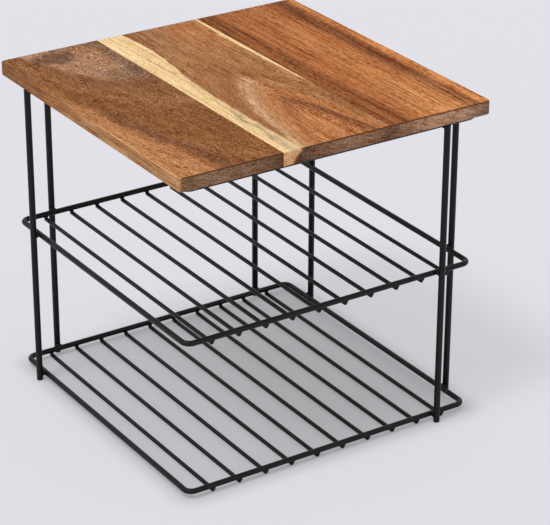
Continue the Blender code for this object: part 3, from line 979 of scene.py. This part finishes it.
def plank_mesh(node, outer_signs):
    """A plank with round outer corners and eased edges, grown to meet its neighbours at the glue."""
    low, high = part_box(node)
    for sign in {-1, 1} - set(outer_signs):
        seam = min((LEFT_SEAM, RIGHT_SEAM), key=lambda x: abs(x - (high.x if sign > 0 else low.x)))
        if sign > 0:
            high.x = seam - GLUE_LINE / 2
        else:
            low.x = seam + GLUE_LINE / 2
    middle_x = (low.x + high.x) / 2
    bm = box_bmesh(low, high)

    def on_side(edge, signs):
        return any(all((vert.co.x - middle_x) * sign > 0 for vert in edge.verts) for sign in signs)

    corners = [edge for edge in bm.edges if runs_along(edge, 2) and on_side(edge, outer_signs)]
    if corners:
        bevel(bm, corners, BOARD_CORNER_RADIUS, BOARD_CORNER_SEGMENTS)
    glued_signs = {-1, 1} - set(outer_signs)
    glued = [edge for edge in bm.edges if runs_along(edge, 1) and on_side(edge, glued_signs)]
    outline = [edge for edge in bm.edges if not runs_along(edge, 2) and edge not in glued]
    bevel(bm, outline, BOARD_EDGE_RADIUS, BOARD_EDGE_SEGMENTS)
    return finished_mesh(bm, node + "_finish")


def make_planks():
    rows = (
        ("plank_left", (-1,), left_figure, "wood_brown"),
        ("plank_middle", (), middle_figure, "wood_banded"),
        ("plank_right", (1,), right_figure, "wood_red"),
    )
    screws = [f"board_screw_{side}" for side, _ in SIDES]
    for index, (node, outer_signs, figure, slot) in enumerate(rows):
        mesh = plank_mesh(node, outer_signs)
        low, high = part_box(node)
        tools = []
        for screw in screws:
            screw_low, screw_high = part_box(screw)
            if screw_low.x < high.x and screw_high.x > low.x:
                tools.append(hole_mesh(screw))
        mesh = combined_mesh(node + "_finish", mesh, "DIFFERENCE", tools)
        show(node, mesh, wood_material(slot, figure, PLANK_SEED_STEP * index))


def rim_points(half_x, half_y, z):
    """Points of a square with round corners, counterclockwise."""
    points = []
    for quarter, (x_sign, y_sign) in enumerate(((1, 1), (-1, 1), (-1, -1), (1, -1))):
        for step in range(RIM_CORNER_STEPS + 1):
            angle = QUARTER_TURN * (quarter + step / RIM_CORNER_STEPS)
            x = x_sign * (half_x - RIM_CORNER_RADIUS) + RIM_CORNER_RADIUS * math.cos(angle)
            y = y_sign * (half_y - RIM_CORNER_RADIUS) + RIM_CORNER_RADIUS * math.sin(angle)
            points.append((x, y, z))
    return points


def rim_mesh(node):
    """A closed wire bent round the shelf."""
    low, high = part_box(node)
    radius = (high.z - low.z) / 2
    curve = bpy.data.curves.new(node, "CURVE")
    curve.dimensions = "3D"
    curve.bevel_depth = radius
    curve.bevel_resolution = RIM_RESOLUTION
    points = rim_points(high.x - radius, high.y - radius, (low.z + high.z) / 2)
    spline = curve.splines.new("POLY")
    spline.points.add(len(points) - 1)
    for point, place in zip(spline.points, points):
        point.co = (*place, 1.0)
    spline.use_cyclic_u = True
    return evaluated_mesh(node + "_finish", [add_object(node, curve)])


def cross_wire_mesh():
    """A straight wire along Y with a weld on top near each end, where it meets the rim above it."""
    low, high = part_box("upper_cross_wire_01")
    rim_low, rim_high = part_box("upper_rim")
    radius = (high.x - low.x) / 2
    length = high.y - low.y
    rim_radius = (rim_high.z - rim_low.z) / 2
    rim_reach = rim_high.y - rim_radius
    weld_z = (high.z + rim_low.z) / 2 - (low.z + high.z) / 2
    loops = [length / 2 + end * (rim_reach - WELD_MARGIN) for end in (-1, 1)]
    profile = rod_profile(radius, length, CROSS_END_ROUNDING, loops)
    rod = turned_mesh("cross_wire", profile, WIRE_SIDES)
    rod.transform(Matrix.Rotation(-QUARTER_TURN, 4, "X") @ Matrix.Translation((0, 0, -length / 2)))
    welds = [weld_mesh(CROSS_WELD, (0.0, end * rim_reach, weld_z)) for end in (-1, 1)]
    return combined_mesh("cross_wire", rod, "UNION", welds)


def make_shelves(material):
    """Two rims with their cross wires, and the rim under the board."""
    for node in RIMS:
        show(node, rim_mesh(node), material)
    wire_mesh = cross_wire_mesh()
    wires = [node for node in sorted(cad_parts) if "_cross_wire_" in node]
    for node in wires:
        low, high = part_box(node)
        show(node, wire_mesh, material, (low + high) / 2)


def make_legs(material):
    """Six straight legs, each welded to the three rims on its inner side."""
    low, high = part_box(LEG_SIDES[0][0])
    radius = (high.x - low.x) / 2
    heights = []
    for rim in RIMS:
        rim_low, rim_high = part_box(rim)
        heights.append((rim_low.z + rim_high.z) / 2)
    loops = [height + WELD_MARGIN for height in heights[:-1]]
    loops += [height - WELD_MARGIN for height in heights[1:]]
    profile = rod_profile(radius, high.z - low.z, LEG_END_ROUNDING, loops)
    rod = turned_mesh("leg", profile, WIRE_SIDES)
    rim_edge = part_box("upper_rim")[1].x
    leg_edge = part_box("leg_right_side_back")[0].x
    weld_x = -(radius + (leg_edge - rim_edge) / 2)
    mesh = combined_mesh("leg", rod, "UNION", [weld_mesh(LEG_WELD, (weld_x, 0.0, z)) for z in heights])
    for node, outward in LEG_SIDES:
        low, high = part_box(node)
        place = ((low.x + high.x) / 2, (low.y + high.y) / 2, low.z)
        show(node, mesh, material, place, math.atan2(outward[1], outward[0]))


def tab_mesh():
    """A flat tab at the right of the rack, from the rim inwards, with its hole and its weld."""
    low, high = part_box("screw_tab_right")
    bm = box_bmesh(low, high)
    middle_x = (low.x + high.x) / 2
    inner = [edge for edge in bm.edges if all(vert.co.x < middle_x for vert in edge.verts)]
    corners = [edge for edge in inner if runs_along(edge, 2)]
    bevel(bm, corners, TAB_CORNER_RADIUS, TAB_CORNER_SEGMENTS)
    outline = [edge for edge in bm.edges if not runs_along(edge, 2)]
    bevel(bm, outline, TAB_EDGE_RADIUS, TAB_EDGE_SEGMENTS)
    plate = finished_mesh(bm, "screw_tab")
    ends = (low.z - HOLE_OVERRUN, high.z + HOLE_OVERRUN)
    side = [(SCREW_HOLE_RADIUS, z) for z in ends]
    hole = turned_mesh("hole", [(0.0, ends[0]), *side, (0.0, ends[1])], HOLE_SIDES)
    hole.transform(Matrix.Translation((low.x + TAB_HOLE_INSET, 0.0, 0.0)))
    plate = combined_mesh("screw_tab", plate, "DIFFERENCE", [hole])
    weld = weld_mesh(TAB_WELD, (high.x, 0.0, (low.z + high.z) / 2))
    return combined_mesh("screw_tab", plate, "UNION", [weld])


def screw_mesh():
    """A pan head screw whose head hangs below its seat at Z 0, with a cross recess."""
    low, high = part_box("board_screw_right")
    head_radius = (high.x - low.x) / 2
    tip_z = high.z - low.z - SCREW_HEAD_HEIGHT
    profile = [(0.0, tip_z), (SCREW_SHANK_RADIUS, tip_z - SCREW_TIP_LENGTH), (SCREW_SHANK_RADIUS, 0.0)]
    profile.append((head_radius, 0.0))
    for step in range(SCREW_DOME_STEPS):
        angle = QUARTER_TURN * step / SCREW_DOME_STEPS
        drop = SCREW_HEAD_SIDE + (SCREW_HEAD_HEIGHT - SCREW_HEAD_SIDE) * math.sin(angle)
        profile.append((head_radius * math.cos(angle), -drop))
    profile.append((0.0, -SCREW_HEAD_HEIGHT))
    body = turned_mesh("board_screw", profile, SCREW_TURN_STEPS)
    slots = []
    low_corner = (-RECESS_LENGTH / 2, -RECESS_WIDTH / 2, -SCREW_HEAD_HEIGHT - HOLE_OVERRUN)
    high_corner = (RECESS_LENGTH / 2, RECESS_WIDTH / 2, -SCREW_HEAD_HEIGHT + RECESS_DEPTH)
    for turn in range(2):
        bm = box_bmesh(low_corner, high_corner)
        for vert in bm.verts:
            if vert.co.z > -SCREW_HEAD_HEIGHT:
                vert.co.x *= RECESS_TAPER_SHARE
        bmesh.ops.rotate(bm, matrix=Matrix.Rotation(QUARTER_TURN * turn, 3, "Z"), verts=bm.verts)
        slots.append(finished_mesh(bm, "recess"))
    return combined_mesh("board_screw", body, "DIFFERENCE", slots)


def make_fixings(material):
    """Four tabs under the board, and the screws that hold it."""
    tab = tab_mesh()
    screw = screw_mesh()
    steel = screw_steel()
    for side, outward in SIDES:
        turn = math.atan2(outward[1], outward[0])
        show("screw_tab_" + side, tab, material, turn=turn)
        low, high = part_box("board_screw_" + side)
        place = ((low.x + high.x) / 2, (low.y + high.y) / 2, low.z + SCREW_HEAD_HEIGHT)
        show("board_screw_" + side, screw, steel, place, turn)


def blend_shaders(tree, share, first, second, output):
    """Send a blend of two shaders to an output, with a share of the second."""
    blend = tree.nodes.new("ShaderNodeMixShader")
    for socket, value in zip(blend.inputs, (share, first.outputs[0], second.outputs[0])):
        feed(tree, socket, value)
    feed(tree, tree.nodes[output].inputs["Surface"], blend.outputs[0])


def make_floor():
    """A wide pale floor. Part of its tone is its own, which keeps the shadows light and neutral."""
    bm = bmesh.new()
    bmesh.ops.create_grid(bm, x_segments=1, y_segments=1, size=FLOOR_SIZE / 2)
    floor = add_object("studio_floor", finished_mesh(bm, "studio_floor"))
    floor.location.z = CAD_BOX[0].z
    material, tree, shader = new_material("pale_floor")
    shader.inputs["Base Color"].default_value = srgb(*FLOOR_COLOUR)
    shader.inputs["Roughness"].default_value = 1.0
    shader.inputs["Specular IOR Level"].default_value = 0.0
    glow = tree.nodes.new("ShaderNodeEmission")
    glow.inputs["Color"].default_value = srgb(*FLOOR_GLOW_COLOUR)
    seen = tree.nodes.new("ShaderNodeLightPath").outputs["Is Camera Ray"]
    blend_shaders(tree, times(tree, seen, FLOOR_GLOW_SHARE), shader, glow, "Material Output")
    floor.data.materials.append(material)


def make_world():
    """An even sky that lights the rack, and looks like the floor to the eye and in reflections."""
    world = bpy.data.worlds.new("studio")
    bpy.context.scene.world = world
    world.use_nodes = True
    tree = world.node_tree
    light = tree.nodes["Background"]
    light.inputs["Color"].default_value = (1.0, 1.0, 1.0, 1.0)
    light.inputs["Strength"].default_value = AMBIENT_LEVEL
    backdrop = tree.nodes.new("ShaderNodeBackground")
    backdrop.inputs["Color"].default_value = srgb(*BACKDROP_COLOUR)
    path = tree.nodes.new("ShaderNodeLightPath")
    seen = compute(tree, "MAXIMUM", path.outputs["Is Camera Ray"], path.outputs["Is Glossy Ray"])
    seen = compute(tree, "MAXIMUM", seen, path.outputs["Is Transmission Ray"])
    blend_shaders(tree, seen, light, backdrop, "World Output")


def add_sun(name, bearing, height, level, softness):
    """A soft lamp far away in the direction given, lighting a level surface to its level of white."""
    lamp = bpy.data.lights.new(name, "SUN")
    lamp.energy = level * math.pi / math.sin(height)
    lamp.angle = softness
    sun = add_object(name, lamp)
    across = math.cos(height)
    toward = Vector((across * math.cos(bearing), across * math.sin(bearing), math.sin(height)))
    sun.rotation_euler = toward.to_track_quat("Z", "Y").to_euler()


def make_camera():
    """The photograph's view: from the front left, looking down."""
    camera_data = bpy.data.cameras.new("camera")
    camera_data.lens = CAMERA_LENS
    camera_data.sensor_width = CAMERA_SENSOR
    camera = add_object("camera", camera_data)
    right_x = math.cos(CAMERA_AZIMUTH)
    right_y = math.sin(CAMERA_AZIMUTH)
    across = math.cos(CAMERA_ELEVATION)
    back = Vector((right_y * across, -right_x * across, math.sin(CAMERA_ELEVATION)))
    right = Vector((right_x, right_y, 0.0))
    axes = Matrix((right, back.cross(right), back)).transposed().to_4x4()
    roll = Matrix.Rotation(CAMERA_ROLL, 4, "Z")
    camera.matrix_world = Matrix.Translation(CAMERA_PLACE) @ axes @ roll
    bpy.context.scene.camera = camera


RIMS = ("lower_rim", "upper_rim", "top_rim")
SIDES = (("left", (-1, 0)), ("back", (0, 1)), ("right", (1, 0)), ("front", (0, -1)))
LEG_SIDES = (
    ("leg_left_side_back", (-1, 0)),
    ("leg_back_side_left", (0, 1)),
    ("leg_back_side_right", (0, 1)),
    ("leg_right_side_back", (1, 0)),
    ("leg_right_side_front", (1, 0)),
    ("leg_front_side_right", (0, -1)),
)
LEFT_SEAM = (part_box("plank_left")[1].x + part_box("plank_middle")[0].x) / 2
RIGHT_SEAM = (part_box("plank_middle")[1].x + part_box("plank_right")[0].x) / 2
BOARD_BOTTOM_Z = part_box("plank_left")[0].z

# The board's measures in the millimetres that the wood's figure uses.
BOARD_DEPTH_MM = (CAD_BOX[1].y - CAD_BOX[0].y) / MILLIMETRE
BOARD_THICKNESS_MM = (CAD_BOX[1].z - BOARD_BOTTOM_Z) / MILLIMETRE
LEFT_SEAM_MM = (LEFT_SEAM - CAD_BOX[0].x) / MILLIMETRE
RIGHT_SEAM_MM = (RIGHT_SEAM - CAD_BOX[0].x) / MILLIMETRE

coat = black_coat()
make_planks()
make_shelves(coat)
make_legs(coat)
make_fixings(coat)
make_floor()
make_world()
add_sun("overhead_lamp", OVERHEAD_BEARING, OVERHEAD_HEIGHT, OVERHEAD_LEVEL, OVERHEAD_SOFTNESS)
add_sun("key_lamp", KEY_BEARING, KEY_HEIGHT, KEY_LEVEL, KEY_SOFTNESS)
make_camera()
bpy.context.scene.view_settings.view_transform = "Standard"
